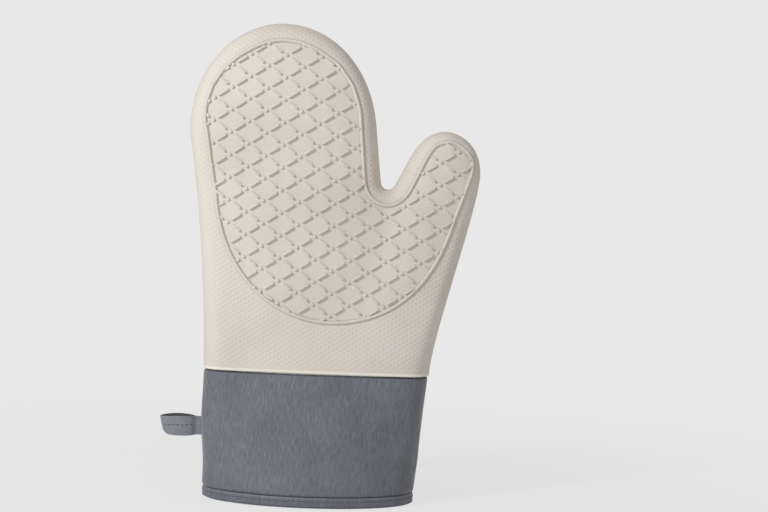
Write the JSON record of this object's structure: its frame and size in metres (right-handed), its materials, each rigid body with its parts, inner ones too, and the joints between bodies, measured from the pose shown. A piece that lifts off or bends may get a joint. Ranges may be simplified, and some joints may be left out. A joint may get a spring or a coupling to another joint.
{
  "type": "oven mitt",
  "caption": "Padded silicone oven mitt with a raised diamond grip on both faces, one thumb, a quilted liner, a canvas cuff and a side hanging loop.",
  "frame": {"origin": "under the middle of the whole mitt, on the plane that the hem stands on", "axes": "+Z from the hem to the fingertips, +X towards the thumb, -Y out of the palm"},
  "size_m": [0.2212, 0.0814, 0.337],
  "materials": {
    "silicone": "matte moulded silicone, warm stone beige, fine embossed grain outside the grip panel",
    "wadding": "soft bonded wadding",
    "lining_cotton": "quilted cotton, diamond stitched",
    "cuff_canvas": "slub woven cotton canvas, blue grey",
    "hem_tape": "folded woven binding with one row of stitches",
    "loop_tape": "folded and topstitched woven tape"
  },
  "bodies": {
    "mitt": {"silicone_shell": "silicone", "palm_wadding": "wadding", "back_wadding": "wadding", "palm_lining": "lining_cotton", "back_lining": "lining_cotton", "palm_cuff": "cuff_canvas", "back_cuff": "cuff_canvas", "hem_binding": "hem_tape"},
    "loop": {"hanging_loop": "loop_tape"}
  },
  "joints": [
    {"name": "loop_swing", "type": "hinge", "parent": "mitt", "child": "loop", "pos_m": [-0.08138, 0, 0.049], "axis": [0, 0, 1], "range_deg": [-60, 60]}
  ]
}
